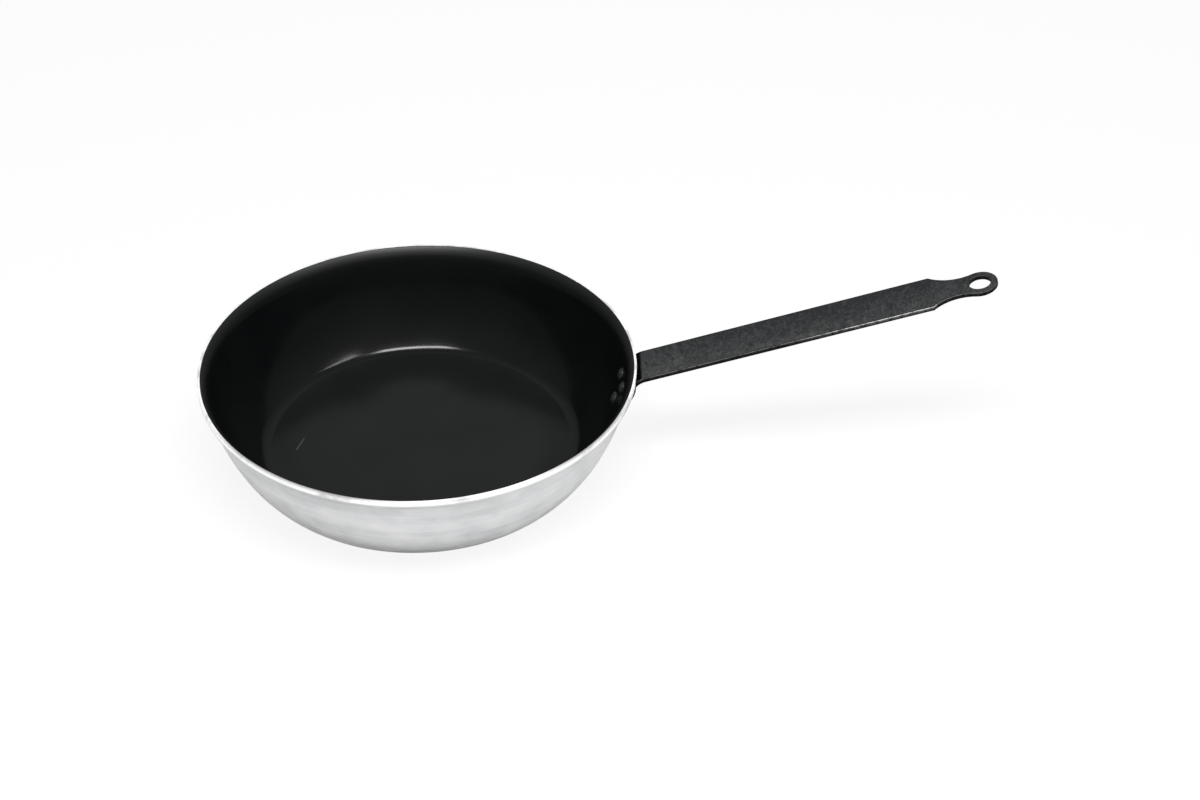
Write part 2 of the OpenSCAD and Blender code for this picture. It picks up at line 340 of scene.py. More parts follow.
def body_profile():
    """Outline (r, z) of the body: out along the base, up the outside, over the rim, down to the floor.

    Rings close to an edge, on the base and on the rim's top, keep the shading flat beside it."""
    outside, slope = outside_rows()
    foot_r, foot_z = outside[0]
    corner_x = foot_r - foot_z / tand(LOW_ANGLE) - CORNER_R * tand(LOW_ANGLE / 2)
    base = np.array([[ring, 0] for ring in (0, *BASE_RINGS, corner_x - 2)])
    corner = arc((corner_x, CORNER_R), CORNER_R, -90, LOW_ANGLE - 90, 14)
    rim_under_z = outside[-1, 1] + (RIM_R - outside[-1, 0]) * tand(slope)
    tangent = RIM_UNDER_R * tand((90 - slope) / 2)
    lower_edge = arc((RIM_R - RIM_UNDER_R, rim_under_z + tangent), RIM_UNDER_R, slope - 90, 0, 9)
    outside = outside[outside[:, 0] < lower_edge[0, 0] - 0.1]
    upper_edge = arc((RIM_R - RIM_EDGE_R, PAN_H - RIM_EDGE_R), RIM_EDGE_R, 0, 90, 7)
    land = np.array([[TOP_R + 0.9, PAN_H], [TOP_R + 0.06, PAN_H], [TOP_R, PAN_H]])
    seat = into_metal(cook_rows, LINING_T)[::-1]
    floor = np.array([[FLOOR_RINGS[0], BASE_T - LINING_T], [0, BASE_T - LINING_T]])
    return np.vstack([base, corner, outside[1:], lower_edge, upper_edge, land, seat, floor])


def lining_profile():
    """Outline (r, z) of the lining: out under it to the rim, and back over the cooking surface."""
    under = [[ring, BASE_T - LINING_T] for ring in (0, FLOOR_RINGS[0])]
    over = [[ring, BASE_T] for ring in (*FLOOR_RINGS, 0)]
    return np.vstack([under, into_metal(cook_rows, LINING_T), into_metal(cook_rows, 0)[::-1], over])


def turned_shape(profile, steps):
    """Surface of revolution: (r, z) of the profile goes to (r cos a, r sin a, z) for each angle a.

    The profile starts and ends on the axis, where its two end points stay single."""
    rings = profile[1:-1]
    angle = np.arange(steps) * 2 * np.pi / steps
    grid = np.empty((len(rings), steps, 3))
    grid[:, :, 0] = rings[:, :1] * np.cos(angle)
    grid[:, :, 1] = rings[:, :1] * np.sin(angle)
    grid[:, :, 2] = rings[:, 1:]
    points = np.vstack([[[0, 0, profile[0, 1]]], grid.reshape(-1, 3), [[0, 0, profile[-1, 1]]]])
    row, column = np.meshgrid(np.arange(len(rings) - 1), np.arange(steps), indexing="ij")
    after = (column + 1) % steps
    quads = np.stack(
        [
            1 + row * steps + column,
            1 + row * steps + after,
            1 + (row + 1) * steps + after,
            1 + (row + 1) * steps + column,
        ],
        -1,
    ).reshape(-1, 4)
    turn = np.arange(steps)
    following = (turn + 1) % steps
    first = np.stack([np.zeros(steps, int), 1 + following, 1 + turn], -1)
    last_ring = 1 + (len(rings) - 1) * steps
    last = np.stack([np.full(steps, len(points) - 1), last_ring + turn, last_ring + following], -1)
    return points, quads.tolist() + first.tolist() + last.tolist()


def make_piece(name, points, faces, node_names, slot, material, marks=None):
    """Makes the mesh in metres with merged seams and outward faces, and puts it in place of CAD nodes.

    Marks are numbers at the points, by name, which the material reads."""
    mesh = bpy.data.meshes.new(name)
    mesh.from_pydata((np.asarray(points) / 1000).tolist(), [], faces)
    for mark, values in (marks or {}).items():
        mesh.attributes.new(mark, "FLOAT", "POINT").data.foreach_set("value", values)
    shape = bmesh.new()
    shape.from_mesh(mesh)
    bmesh.ops.remove_doubles(shape, verts=shape.verts, dist=SEAM_GAP)
    bmesh.ops.dissolve_degenerate(shape, edges=shape.edges, dist=THINNEST)
    bmesh.ops.recalc_face_normals(shape, faces=shape.faces)
    shape.to_mesh(mesh)
    shape.free()
    mesh.polygons.foreach_set("use_smooth", np.ones(len(mesh.polygons), bool))
    mesh.materials.append(material)
    piece = bpy.data.objects.new(name, mesh)
    bpy.context.scene.collection.objects.link(piece)
    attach(piece, "root")
    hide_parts(*node_names)


# Handle: the path of the face that lies on the wall and becomes the shank's top face
wall_line_at = into_metal(np.array([[*lip_foot, WALL_ANGLE]]), wall_thickness(lip_foot[1]))[0]
wall_side = -wall_line_at[0] * sind(WALL_ANGLE) + wall_line_at[1] * cosd(WALL_ANGLE) - FULL_BEND
shank_side = -DROP_X * sind(RISE) + (PAN_H - DROP) * cosd(RISE) - FULL_BEND
bend_centre = np.linalg.solve(
    [[-sind(WALL_ANGLE), cosd(WALL_ANGLE)], [-sind(RISE), cosd(RISE)]], [wall_side, shank_side]
)
shank_start = (bend_centre[0] - FULL_BEND * sind(RISE) - DROP_X) / cosd(RISE)
wall_end = shank_start - FULL_BEND * np.radians(WALL_ANGLE - RISE)


def strip_path():
    """Table of the path, as rows (travel, x, z, slope): up the wall, round the bend, along the shank and
    over the slight dip to the eyelet. Travel is zero where the shank's drop is measured."""
    outside = into_metal(wall_rows, wall_thickness(wall_rows[:, 1]))
    bend_foot = bend_centre + FULL_BEND * np.array([-sind(WALL_ANGLE), cosd(WALL_ANGLE)])
    lower = outside[(outside[:, 1] > PATH_FROM_Z) & (outside[:, 1] < bend_foot[1] - 0.5)]
    slope = np.linspace(WALL_ANGLE, RISE, 40)
    bend = bend_centre + FULL_BEND * np.stack([-sind(slope), cosd(slope)], 1)
    along = np.array([cosd(RISE), sind(RISE)])
    start = np.array([DROP_X, PAN_H - DROP])
    shank = start + np.linspace(SHANK_FROM, SHANK_L, 30)[:, None] * along
    turn = np.linspace(0, DIP, 10)[1:]
    onward = sind(turn)[:, None] * along
    down = (1 - cosd(turn))[:, None] * np.array([sind(RISE), -cosd(RISE)])
    top = shank[-1] + DIP_R * (onward + down)
    end = top[-1] + END_L * np.array([cosd(RISE - DIP), sind(RISE - DIP)])
    points = np.vstack([lower, bend, shank, top, [end]])
    lower_slope = np.degrees(np.arctan2(*np.gradient(lower, axis=0).T[::-1]))
    slopes = np.concatenate([lower_slope, slope, np.full(len(shank), RISE), RISE - turn, [RISE - DIP]])
    travel = np.concatenate([[0], np.cumsum(np.hypot(*np.diff(points, axis=0).T))])
    zero = travel[len(lower) + len(bend)] - SHANK_FROM
    return np.column_stack([travel - zero, points, slopes])


path = strip_path()


def placed_on_path(flat):
    """Rows (travel, y, height) put in space: height is measured square to the path, and on the wall the
    sheet bends round the pan's axis, an effect that fades out over the bend."""
    travel, y, height = flat.T
    x = np.interp(travel, path[:, 0], path[:, 1])
    z = np.interp(travel, path[:, 0], path[:, 2])
    slope = np.interp(travel, path[:, 0], path[:, 3])
    x = x - height * sind(slope)
    z = z + height * cosd(slope)
    fade = np.clip((travel - wall_end) / (shank_start - wall_end), 0, 1)
    share = 1 - fade * fade * (3 - 2 * fade)
    x = x - share * (x - np.sqrt(x * x - y * y))
    return np.stack([x, y, z], -1)


def travel_at_height(z):
    """Travel of the path at a height on the wall."""
    return np.interp(z, path[:, 2], path[:, 0])


def half_outline():
    """Left half of the strip's outline and the line it is joined to, both as rows (travel, y).

    The outline runs from the flange's lower end round its corner, along the shank and round the eyelet.
    The inner line runs up the middle and round the hole. Also gives the row of the inner line where
    the hole starts, and the travel of the hole's centre."""
    ear_z = PAN_H - EAR_DEPTH - EAR_R
    toe_z = PAN_H - LOWER_DEPTH - TOE_BELOW
    run = np.hypot(EAR_Y, ear_z - toe_z)
    lean = np.degrees(np.arcsin((TOE_R - EAR_R) / run))
    side = np.degrees(np.arctan2(ear_z - toe_z, EAR_Y)) - 90 + lean
    toe = arc((0, toe_z), TOE_R, -90, side, 22)
    ear = arc((EAR_Y, ear_z), EAR_R, side, 90, 18)
    edge = np.linspace(0, 1, 26)[1:-1, None]
    flange = np.vstack([toe, toe[-1] * (1 - edge) + ear[0] * edge, ear])
    flange = np.stack([travel_at_height(flange[:, 1]), flange[:, 0]], 1)
    ear_top = flange[-1, 0]
    neck = arc((ear_top + NECK_R, ROOT_W / 2 + NECK_R), NECK_R, 180, 270, 9)
    hollow_y = WAIST_W + HOLLOW_R
    eye = SHANK_L + EYE_L
    hollow = eye - np.sqrt((HOLLOW_R + EYE_R) ** 2 - hollow_y**2)
    meet = np.degrees(np.arctan2(hollow_y, hollow - eye))
    shoulder = hollow - np.sqrt(HOLLOW_R**2 - (hollow_y - END_W / 2) ** 2)
    # Stations only place points along the shank's straight side
    stations = np.concatenate(
        [np.linspace(neck[-1, 0] + 0.5, 8, 18), np.linspace(10, shoulder - 0.3, 60), [shoulder]]
    )
    widening = (END_W - ROOT_W) / 2 * np.clip(stations / SHANK_L, 0, 1)
    shank = np.stack([stations, ROOT_W / 2 + widening], 1)
    corner = np.degrees(np.arccos((shoulder + 0.3 - hollow) / HOLLOW_R))
    waist = arc((hollow, hollow_y), HOLLOW_R, -corner, meet - 180, 34)
    ring = arc((eye, 0), EYE_R, meet, 0, 44)[1:]
    outline = np.vstack([flange, neck, shank, waist, ring])

    # The inner line has one place for each point of the outline
    hole_edge = HOLE_R + HOLE_EDGE_R
    hole_start = eye - hole_edge
    count = [len(toe), len(edge), len(ear), len(neck), len(shank)]
    toe_mid = travel_at_height(toe_z - TOE_R * 0.4)
    side_in = travel_at_height(toe[-1, 1])
    ear_in = flange[count[0] + count[1], 0] - 1
    inner = np.concatenate(
        [
            np.linspace(toe_mid, side_in, count[0]),
            np.linspace(side_in, ear_in, count[1] + 2)[1:-1],
            np.linspace(ear_in, ear_top - 2.5, count[2]),
            np.linspace(ear_top - 2.2, neck[-1, 0], count[3]),
            shank[:, 0],
        ]
    )
    before = waist[waist[:, 0] < hollow]
    inner = np.concatenate([inner, np.linspace(shank[-1, 0] + 1, hole_start, len(before))])
    after = len(waist) - len(before)
    back = np.linspace(180, meet, after + 1)[1:]
    turn = np.concatenate([back, np.linspace(meet, 0, len(ring) + 1)[1:]])
    round_hole = np.stack([eye + hole_edge * cosd(turn), hole_edge * sind(turn)], 1)
    line = np.vstack([np.stack([inner, np.zeros(len(inner))], 1), round_hole])
    return outline, line, len(inner) - 1, eye


def inward_steps(outline):
    """Unit steps square to the outline, towards the metal. The two ends lie on the middle line."""
    step = np.gradient(outline, axis=0)
    square = np.stack([step[:, 1], -step[:, 0]], 1)
    square /= np.linalg.norm(square, axis=1)[:, None]
    square[0] = (1, 0)
    square[-1] = (-1, 0)
    return square


def strip_shape():
    """The strip as one closed skin with rounded edges, with its marks.

    Across each rung from the middle to the outline: the top face, a quarter round, the side, a quarter
    round and the lower face. Round the hole a second band goes from the top face to the lower face.
    The other half is the mirror image. The marks are edge, which is 1 low on the upper rounded edge and
    faint on the lower one, side, which is 1 on the side faces, brink, which is 1 where the top face
    ends, and crook, which is 1 on the top face inside the bend."""
    outline, line, hole_first, eye = half_outline()
    inward = inward_steps(outline)
    around = line[hole_first:] - (eye, 0)
    around /= np.linalg.norm(around, axis=1)[:, None]

    def rounded_band(start, step, radius):
        """Rows (travel, y, height, marks) over the upper edge, down the side, under the lower edge."""
        turn = np.linspace(90, 0, 9)
        inset = radius * (1 - cosd(turn))
        depth = radius * (1 - sind(turn))
        inset = np.concatenate([inset, inset[::-1]])
        height = np.concatenate([-depth, depth[::-1] - STRIP_T])
        upper = np.clip(WORN_HIGHLIGHT_PEAK - np.abs(turn - WORN_HIGHLIGHT_ANGLE) / WORN_HIGHLIGHT_SPREAD, 0, 1)
        edge = np.concatenate([upper, WORN_HIGHLIGHT_BELOW * sind(2 * turn[::-1])])
        brink = np.concatenate([sind(turn), np.zeros(len(turn))])
        side = np.concatenate([cosd(turn), cosd(turn[::-1])])
        flat = start + step * inset[:, None, None]
        levels = np.stack([height, edge, side, brink], 1)[:, None].repeat(len(start), 1)
        return np.concatenate([flat, levels], 2)

    share = np.concatenate([np.linspace(0, 0.9, 8), [0.97]])[:, None, None]
    face = line * (1 - share) + (outline + inward * STRIP_EDGE_R) * share
    top = np.concatenate([face, np.zeros((*face.shape[:2], 4))], 2)
    under = top[::-1] - (0, 0, STRIP_T, 0, 0, 0)
    skin = np.concatenate([top, rounded_band(outline, inward, STRIP_EDGE_R), under])
    hole = rounded_band((eye, 0) + around * HOLE_R, around, HOLE_EDGE_R)
    points = []
    faces = []
    for grid in (skin, hole):
        for mirror in (1, -1):
            start = sum(len(block) for block in points)
            points.append(grid.reshape(-1, 6) * (1, mirror, 1, 1, 1, 1))
            rungs, columns = grid.shape[:2]
            down, along = np.meshgrid(np.arange(rungs - 1), np.arange(columns - 1), indexing="ij")
            first = start + down * columns + along
            below = first + columns
            faces += np.stack([first, first + 1, below + 1, below], -1).reshape(-1, 4).tolist()
    points = np.vstack(points)
    placed = placed_on_path(points[:, :3])
    on_top = points[:, 2] > -STRIP_EDGE_R
    crook = np.interp(placed[:, 0], CROOK_X, (1, 0)) * on_top
    # Side, brink and crook carry painted shade in the material, and edge the worn line with its painted
    # highlight
    marks = {"edge": points[:, 3], "side": points[:, 4], "brink": points[:, 5], "crook": crook}
    return placed, faces, marks


def seat_at(height):
    """Radius and slope of the cooking surface at a height."""
    r = np.interp(height, wall_rows[:, 1], wall_rows[:, 0])
    slope = np.interp(height, wall_rows[:, 1], wall_rows[:, 2])
    return r, slope


def dome_profile(diameter, height, skirt, count):
    """Cap of a sphere with a small round at its edge, as rows (r, height), from the pole to the skirt."""
    flat_r = diameter / 2 - RIVET_EDGE_R
    ball = (diameter**2 / 4 + height**2) / (2 * height)
    spread = np.degrees(np.arcsin(flat_r / ball))
    angle = np.linspace(0, spread, count)
    cap = np.stack([ball * sind(angle), height - ball + ball * cosd(angle)], 1)
    rim = arc((flat_r, cap[-1, 1] - RIVET_EDGE_R), RIVET_EDGE_R, 80, 0, 5)
    return np.vstack([cap, rim, [[diameter / 2, -skirt]]])


def rivet_shape(azimuth, depth):
    """One rivet, turned about the line square to the wall: low head inside the pan, shank through wall
    and flange, domed tail on the flange."""
    r, slope = seat_at(PAN_H - depth)
    reach = wall_thickness(PAN_H - depth) + STRIP_T
    head = dome_profile(HEAD_D, HEAD_H, HEAD_SUNK, 12) * (1, -1)
    tail = dome_profile(TAIL_D, TAIL_H, TAIL_SUNK, 12) + (0, reach)
    shank = np.array([[RIVET_D / 2, HEAD_SUNK], [RIVET_D / 2, reach - TAIL_SUNK]])
    points, faces = turned_shape(np.vstack([head, shank, tail[::-1]]), RIVET_STEPS)
    into = np.array([sind(slope) * cosd(azimuth), sind(slope) * sind(azimuth), -cosd(slope)])
    across = np.array([-sind(azimuth), cosd(azimuth), 0])
    along = np.cross(across, into)
    seat = np.array([r * cosd(azimuth), r * sind(azimuth), PAN_H - depth])
    return seat + points @ np.array([along, across, into]), faces


class Nodes:
    """Short ways to add and join the nodes of one tree."""

    def __init__(self, tree):
        self.tree = tree

    def fill(self, socket, value):
        """Joins a socket to another one, or gives it a plain value."""
        if isinstance(value, bpy.types.NodeSocket):
            self.tree.links.new(value, socket)
        else:
            socket.default_value = value

    def node(self, kind, values=(), **options):
        """Adds a node, sets its options, and fills its input sockets by number or name."""
        made = self.tree.nodes.new(kind)
        for key, option in options.items():
            setattr(made, key, option)
        for number, value in values:
            self.fill(made.inputs[number], value)
        return made

    def math(self, operation, first, second):
        """Number from two numbers."""
        return self.node("ShaderNodeMath", [(0, first), (1, second)], operation=operation).outputs[0]

    def vector_node(self, operation, first, second):
        """Node that works on two vectors."""
        return self.node("ShaderNodeVectorMath", [(0, first), (1, second)], operation=operation)

    def vector(self, operation, first, second=(0, 0, 0)):
        """Vector from one or two vectors."""
        return self.vector_node(operation, first, second).outputs["Vector"]

    def measure(self, operation, first, second=(0, 0, 0)):
        """Number from one or two vectors."""
        return self.vector_node(operation, first, second).outputs["Value"]

    def weighted(self, *parts):
        """Sum of numbers, each times its weight, from pairs (number, weight)."""
        total = 0.0
        for number, weight in parts:
            total = self.math("ADD", total, self.math("MULTIPLY", number, weight))
        return total

    def along(self, vector, axis):
        """Number of a vector along the axis X, Y or Z."""
        return self.node("ShaderNodeSeparateXYZ", [(0, vector)]).outputs[axis]

    def noise(self, vector, scale, detail=2.0, rough=0.5, twist=0.0):
        """Cloudy number from 0 to 1, with about 1 / scale from one cloud to the next."""
        names = ("Vector", "Scale", "Detail", "Roughness", "Distortion")
        values = zip(names, (vector, scale, detail, rough, twist))
        return self.node("ShaderNodeTexNoise", values).outputs["Fac"]

    def between(self, value, low, high, start, end):
        """Value from low..high carried to start..end, and held there outside."""
        values = enumerate((value, low, high, start, end))
        return self.node("ShaderNodeMapRange", values).outputs[0]

    def shades(self, value, stops):
        """Colour of a value by a ramp of stops (place, colour)."""
        ramp = self.node("ShaderNodeValToRGB", [(0, value)])
        bar = ramp.color_ramp
        while len(bar.elements) < len(stops):
            bar.elements.new(0.5)
        for element, (place, colour) in zip(bar.elements, stops):
            element.position = place
            element.color = (*colour, 1)
        return ramp.outputs[0]

    def mixed(self, share, first, second):
        """Colour between first and second by share."""
        values = [(0, share), (6, first), (7, second)]
        return self.node("ShaderNodeMix", values, data_type="RGBA").outputs[2]


class Shader(Nodes):
    """Nodes of one material and its surface."""

    def __init__(self, name):
        self.material = bpy.data.materials.new(name)
        self.material.use_nodes = True
        super().__init__(self.material.node_tree)
        self.surface = self.tree.nodes["Principled BSDF"]

    def place(self):
        """Place on the piece, in metres."""
        return self.node("ShaderNodeTexCoord").outputs["Object"]

    def mark(self, name):
        """Number that the piece's mesh carries at its points."""
        return self.node("ShaderNodeAttribute", attribute_name=name).outputs["Fac"]

    def bump(self, height, strength, distance):
        """Surface direction, roughened by a height."""
        values = [("Height", height), ("Strength", strength), ("Distance", distance)]
        return self.node("ShaderNodeBump", values).outputs[0]

    def feed(self, **sockets):
        """Fills the surface's sockets; an underscore in a name stands for a space."""
        for name, value in sockets.items():
            self.fill(self.surface.inputs[name.replace("_", " ")], value)


def turned_aluminium():
    """Satin aluminium, turned on a lathe: fine rings, soft bands and broad smears round the pan.

    The wall is painted a little darker towards the rim, and dark at its foot, as shade. The rim is
    cut clean after the wall is finished: it is lighter, with dull patches, and its top has long
    stretches of painted shade. The tangent runs across the turned rings, so that highlights spread
    across them."""
    shader = Shader("turned aluminium")
    place = shader.place()
    flat = shader.vector("MULTIPLY", place, (1, 1, 0))
    direction = shader.vector("NORMALIZE", flat)
    radius = shader.measure("LENGTH", flat)
    height = shader.along(place, "Z")
    travel = shader.math("ADD", radius, height)

    def ring_noise(round_scale, travel_scale, detail):
        """Noise drawn out round the pan: slow along the direction, quick along the travel up the wall."""
        slow = shader.vector("MULTIPLY", direction, (round_scale, round_scale, 0))
        quick = shader.math("MULTIPLY", travel, travel_scale)
        up = shader.node("ShaderNodeCombineXYZ", [("Z", quick)]).outputs[0]
        return shader.noise(shader.vector("ADD", slow, up), scale=1.0, detail=detail)

    bands = ring_noise(round_scale=1.3, travel_scale=130, detail=2.0)
    rings = ring_noise(round_scale=3.0, travel_scale=1500, detail=3.0)
    streaks = ring_noise(round_scale=5.0, travel_scale=420, detail=2.0)
    smears = ring_noise(round_scale=7.0, travel_scale=55, detail=3.0)
    tone = shader.weighted((bands, 0.35), (streaks, 0.15), (smears, 0.5))
    # Painted shade on the wall under the rim
    tone = shader.math("ADD", tone, shader.between(height, *UPPER_WALL_Z, 0, UPPER_WALL_PAINTED_SHADE))
    wall = shader.shades(tone, WALL_TONES)
    # Painted shade at the wall's foot
    low = shader.between(height, *FOOT_Z, FOOT_PAINTED_SHADE_SHARE, 0)
    foot_shade = shader.math("MULTIPLY", low, shader.between(radius, *FOOT_R, 0, 1))
    wall = shader.mixed(foot_shade, wall, (*FOOT_PAINTED_SHADE, 1))

    high = shader.between(height, *RIM_CUT_Z, 0, 1)
    rim = shader.math("MULTIPLY", high, shader.between(radius, *RIM_CUT_R, 0, 1))
    rim_tone = shader.shades(smears, RIM_TONES)
    colour = shader.mixed(rim, wall, rim_tone)
    # Painted shade in stretches on the rim's top
    on_land = shader.between(height, *LAND_Z, 0, 1)
    land_shade = shader.math("MULTIPLY", on_land, shader.between(radius, *LAND_R, *LAND_PAINTED_SHADE_SHARES))
    for azimuth, reach in LAND_PAINTED_SHADE_SIDES:
        facing = shader.measure("DOT_PRODUCT", direction, (cosd(azimuth), sind(azimuth), 0))
        end, full = cosd(reach + LAND_PAINTED_SHADE_FADE), cosd(reach - LAND_PAINTED_SHADE_FADE)
        share = shader.math("MULTIPLY", shader.between(facing, end, full, 0, 1), land_shade)
        colour = shader.mixed(share, colour, (*LAND_PAINTED_SHADE, 1))
    shader.feed(
        Base_Color=colour,
        Metallic=shader.between(height, *LAND_Z, 1, LAND_METALLIC),
        Roughness=shader.between(smears, *NOISE_RANGE, *WALL_ROUGH),
        Anisotropic=WALL_ANISOTROPIC,
        Tangent=direction,
        Normal=shader.bump(rings, strength=0.25, distance=0.00004),
    )
    return shader.material


def black_lining():
    """Black non-stick lining: near black, a satin gloss and a fine sprayed texture.

    The floor is painted a little paler than the wall, as light, with painted shade round its edge
    except at the back, and has one fine scratch. The lining is duller where it ends at the rim, and
    painted a little paler there, as sheen."""
    shader = Shader("black lining")
    place = shader.place()
    fine = shader.noise(place, scale=900, detail=3.0)
    cloud = shader.noise(place, scale=22, detail=3.0)
    wall = shader.shades(cloud, LINING_WALL_TONES)
    # The floor is painted paler than the wall, as light
    floor = shader.shades(cloud, LINING_FLOOR_PAINTED_LIGHT_TONES)
    flat = shader.vector("MULTIPLY", place, (1, 1, 0))
    radius = shader.measure("LENGTH", flat)
    # Painted shade round the floor's edge, except at the back
    outer = shader.between(radius, *LINING_FLOOR_SHADE_R, 0, LINING_FLOOR_SHADE_SHARE)
    floor_edge_shade = shader.math("MULTIPLY", outer, shader.between(shader.along(place, "Y"), *LINING_FLOOR_SHADE_Y, 1, 0))
    floor = shader.mixed(floor_edge_shade, floor, wall)
    colour = shader.mixed(shader.between(radius, *LINING_CREASE_R, 1, 0), wall, floor)

    # Scratch: share is how far along it a place lies, and gap how far off it
    step = np.subtract(SCRATCH[1], SCRATCH[0])
    from_start = shader.vector("SUBTRACT", flat, SCRATCH[0])
    share = shader.measure("DOT_PRODUCT", from_start, tuple(step / (step @ step)))
    nearest = shader.vector("MULTIPLY", tuple(step), shader.between(share, 0, 1, 0, 1))
    gap = shader.measure("DISTANCE", from_start, nearest)
    colour = shader.mixed(shader.between(gap, *SCRATCH_R, 1, 0), colour, (*SCRATCH_COLOUR, 1))

    # Painted sheen where the lining ends at the rim
    edge_sheen = shader.between(radius, *LINING_SHEEN_R, 0, 1)
    satin = shader.between(cloud, *NOISE_RANGE, *LINING_ROUGH)
    rougher = shader.between(radius, *LINING_ROUGH_R, 0, LINING_EDGE_ROUGHER)
    shader.feed(
        Base_Color=shader.mixed(edge_sheen, colour, (*LINING_EDGE_PAINTED_SHEEN, 1)),
        Roughness=shader.math("ADD", satin, rougher),
        IOR=LINING_IOR,
        Normal=shader.bump(fine, strength=0.4, distance=0.00004),
    )
    return shader.material


def coated_steel():
    """Dark grey coated strip: a scaly mottle over a satin coat, painted paler towards one side, as light.

    It has painted shade near the shoulders, and darker painted shade on the sides, in the crook of
    the bend and at the brink of the top face. The rounded edge carries a broken bright line, partly
    wear and partly painted highlight, most near the shoulders."""
    shader = Shader("dark coated steel")
    place = shader.place()
    along = shader.along(place, "X")
    grain = shader.noise(place, scale=900, rough=0.6)
    wider = shader.vector("MULTIPLY", place, SCALES_STRETCH)
    scales = shader.noise(wider, scale=330, rough=0.55, twist=1.2)
    cloud = shader.noise(place, scale=60, detail=3.0)
    mottle = shader.weighted((grain, 0.3), (scales, 0.5), (cloud, 0.2))
    # Painted light across the strip: paler towards one side
    lean = shader.between(shader.along(place, "Y"), *COAT_PAINTED_LIGHT_Y, *COAT_PAINTED_LIGHT_TONE)
    # Painted shade growing towards the shoulders and easing off at the eyelet
    shank = shader.between(along, *COAT_SHANK_X, *COAT_SHANK_PAINTED_SHADE)
    eyelet = shader.between(along, *COAT_EYELET_X, *COAT_EYELET_PAINTED_SHADE)
    painted_end_shade = shader.math("MINIMUM", shank, eyelet)
    tone = shader.math("SUBTRACT", shader.math("ADD", mottle, lean), painted_end_shade)
    coat = shader.shades(tone, STEEL_TONES)
    # Painted shade on the sides, in the crook of the bend and at the brink of the top face
    shade = shader.math("MAXIMUM", shader.mark("side"), shader.mark("crook"))
    shade = shader.math("MAXIMUM", shade, shader.math("MULTIPLY", shader.mark("brink"), BRINK_SHADE))
    coat = shader.mixed(shade, coat, (*STEEL_SHADE, 1))

    # Worn line on the rounded edge, partly wear and partly painted highlight
    breaks = shader.between(shader.noise(place, scale=300), *WORN_HIGHLIGHT_BREAKS, *WORN_HIGHLIGHT_BROKEN)
    growing = shader.between(along, *WORN_HIGHLIGHT_SHANK_X, *WORN_HIGHLIGHT_SHANK)
    worn_and_highlight = shader.math("MULTIPLY", growing, shader.between(along, *WORN_HIGHLIGHT_SHOULDER_X, *WORN_HIGHLIGHT_SHOULDER))
    wear_and_highlight = shader.math("MULTIPLY", shader.math("MULTIPLY", breaks, worn_and_highlight), shader.mark("edge"))
    satin = shader.between(scales, *SCALES_RANGE, *COAT_ROUGH)
    shader.feed(
        Base_Color=shader.mixed(wear_and_highlight, coat, (*STEEL_WORN_AND_HIGHLIGHT, 1)),
        Metallic=shader.math("MAXIMUM", shader.math("SUBTRACT", shade, wear_and_highlight), 0.0),
        Roughness=shader.math("ADD", satin, shader.math("MULTIPLY", shade, SHADE_ROUGHER)),
        Normal=shader.bump(mottle, strength=0.5, distance=0.00015),
    )
    return shader.material


def rivet_metal():
    """Dark rivet metal with a soft hammered surface."""
    shader = Shader("dark rivet metal")
    dents = shader.noise(shader.place(), scale=500)
    shader.feed(
        Base_Color=shader.shades(dents, RIVET_TONES),
        Metallic=RIVET_METALLIC,
        Roughness=shader.between(dents, *NOISE_RANGE, *RIVET_ROUGH),
        Normal=shader.bump(dents, strength=0.3, distance=0.0001),
    )
    return shader.material


points, faces = turned_shape(body_profile(), TURN_STEPS)
make_piece("turned_body", points, faces, ["pan_body"], "body_aluminium", turned_aluminium())
points, faces = turned_shape(lining_profile(), TURN_STEPS)
make_piece("cooking_lining", points, faces, ["nonstick_coating"], "lining", black_lining())
points, faces, marks = strip_shape()
make_piece("strip_handle", points, faces, ["handle"], "handle_steel", coated_steel(), marks)
rivet_finish = rivet_metal()
pair_azimuth = np.degrees(np.arcsin(PAIR_W / 2 / seat_at(PAN_H - UPPER_DEPTH)[0]))
for name, azimuth, depth in (
    ("rivet_upper_left", pair_azimuth, UPPER_DEPTH),
    ("rivet_upper_right", -pair_azimuth, UPPER_DEPTH),
    ("rivet_lower", 0.0, LOWER_DEPTH),
):
    make_piece("domed_" + name, *rivet_shape(azimuth, depth), [name], "rivet_metal", rivet_finish)


def make_camera():
    """Camera of the photograph: it looks down by its pitch, and has the rim's centre on its pixel."""
    right = np.array([cosd(CAMERA_AZIMUTH), sind(CAMERA_AZIMUTH), 0])
    ahead = np.array([-sind(CAMERA_AZIMUTH), cosd(CAMERA_AZIMUTH), 0])
    sight = ahead * cosd(CAMERA_PITCH) - np.array([0, 0, sind(CAMERA_PITCH)])
    up = np.cross(right, sight)
    offset_x = (RIM_PIXEL[0] - PHOTO_SIZE[0] / 2) / FOCAL_PX
    offset_y = (RIM_PIXEL[1] - PHOTO_SIZE[1] / 2) / FOCAL_PX
    ray = sight + offset_x * right - offset_y * up
    place = np.array([0, 0, PAN_H / 1000]) - ray * RIM_DEPTH
    data = bpy.data.cameras.new("camera")
    data.sensor_width = SENSOR_MM
    data.lens = FOCAL_PX / PHOTO_SIZE[0] * SENSOR_MM
    data.clip_start = 0.05
    data.clip_end = 50
    camera = bpy.data.objects.new("camera", data)
    turn = Matrix((right, up, -sight)).transposed().to_4x4()
    camera.matrix_world = Matrix.Translation(Vector(place)) @ turn
    bpy.context.scene.collection.objects.link(camera)
    bpy.context.scene.camera = camera


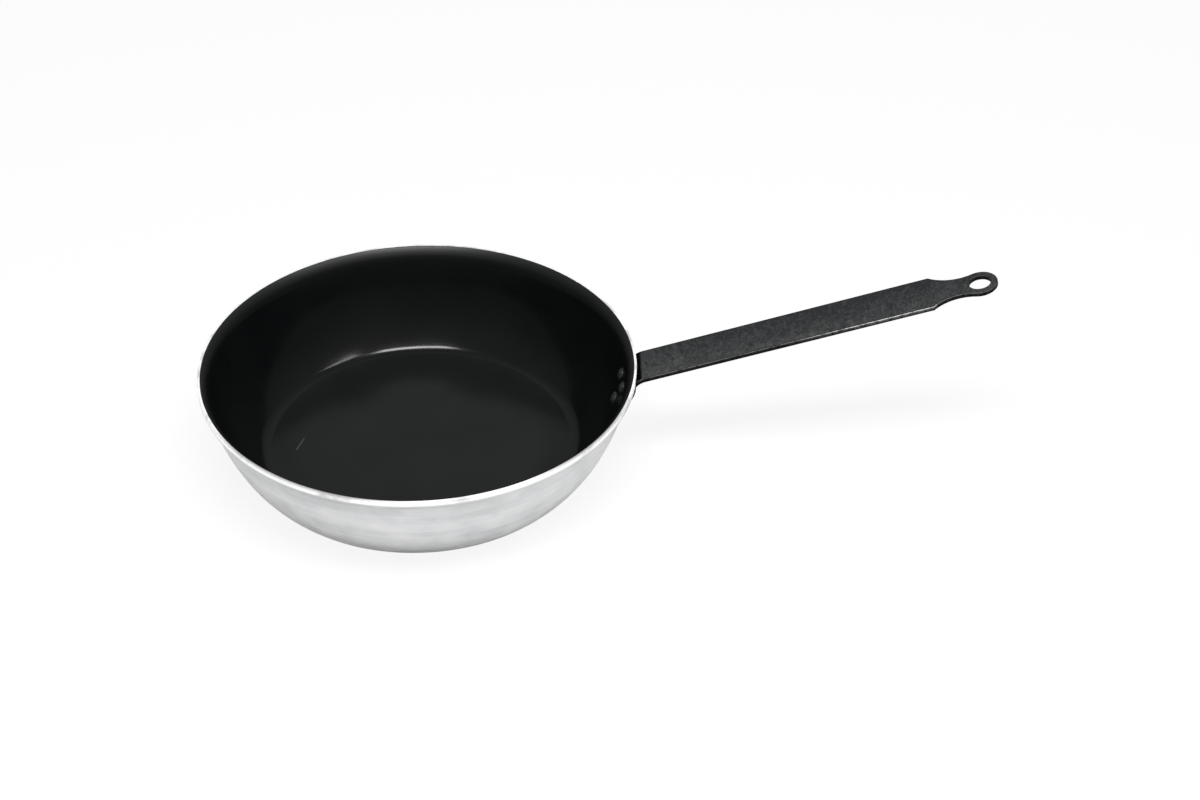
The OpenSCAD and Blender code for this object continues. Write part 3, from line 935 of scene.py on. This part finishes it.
def make_lamp(name, place, length, width, power):
    """Soft box that faces the pan, with its length level."""
    data = bpy.data.lights.new(name, "AREA")
    data.shape = "RECTANGLE"
    data.size = length
    data.size_y = width
    data.energy = power
    lamp = bpy.data.objects.new(name, data)
    away = Vector(place).normalized()
    level = Vector((0, 0, 1)).cross(away).normalized()
    turn = Matrix((level, away.cross(level), away)).transposed().to_4x4()
    lamp.matrix_world = Matrix.Translation(place) @ turn
    bpy.context.scene.collection.objects.link(lamp)


def background_share(nodes, gloss):
    """Share of the white background: whole for camera rays, gloss for glossy and transmission rays."""
    rays = nodes.node("ShaderNodeLightPath")
    share = rays.outputs["Is Camera Ray"]
    for kind in ("Is Glossy Ray", "Is Transmission Ray"):
        share = nodes.math("MAXIMUM", share, nodes.math("MULTIPLY", rays.outputs[kind], gloss))
    return share


def make_world():
    """Soft grey sky, darker towards the horizon.

    The background is white to the camera, and to gloss just above the horizon, where the floor ends."""
    world = bpy.data.worlds.new("studio")
    bpy.context.scene.world = world
    world.use_nodes = True
    nodes = Nodes(world.node_tree)
    direction = nodes.node("ShaderNodeTexCoord").outputs["Generated"]
    rise = nodes.along(direction, "Z")
    sky = nodes.between(rise, *SKY_RISE, SKY_LOW, SKY_HIGH)
    white = background_share(nodes, nodes.between(rise, *HORIZON_RISE, 1.0, 0.0))
    grey = nodes.math("MULTIPLY", sky, nodes.math("SUBTRACT", 1.0, white))
    background = world.node_tree.nodes["Background"]
    nodes.fill(background.inputs["Color"], WHITE)
    nodes.fill(background.inputs["Strength"], nodes.math("ADD", grey, white))


def make_floor():
    """Plain white floor just under the base."""
    corners = FLOOR_HALF * np.array([[-1, -1, 0], [1, -1, 0], [1, 1, 0], [-1, 1, 0]])
    mesh = bpy.data.meshes.new("floor")
    mesh.from_pydata((corners + (0, 0, FLOOR_Z)).tolist(), [], [(0, 1, 2, 3)])
    shader = Shader("white floor")
    shader.feed(Base_Color=(*FLOOR_COLOUR, 1), Roughness=FLOOR_ROUGH, Specular_IOR_Level=0.0)
    white = background_share(shader, FLOOR_GLOSS_GLOW / FLOOR_GLOW)
    glow = shader.node("ShaderNodeEmission", [("Color", WHITE)]).outputs[0]
    parts = [(0, shader.math("MULTIPLY", white, FLOOR_GLOW)), (1, shader.surface.outputs[0]), (2, glow)]
    mix = shader.node("ShaderNodeMixShader", parts)
    shader.fill(shader.tree.nodes["Material Output"].inputs["Surface"], mix.outputs[0])
    mesh.materials.append(shader.material)
    floor = bpy.data.objects.new("floor", mesh)
    bpy.context.scene.collection.objects.link(floor)


make_camera()
make_world()
for lamp in LAMPS:
    make_lamp(*lamp)
make_floor()
bpy.context.scene.view_settings.view_transform = "Standard"
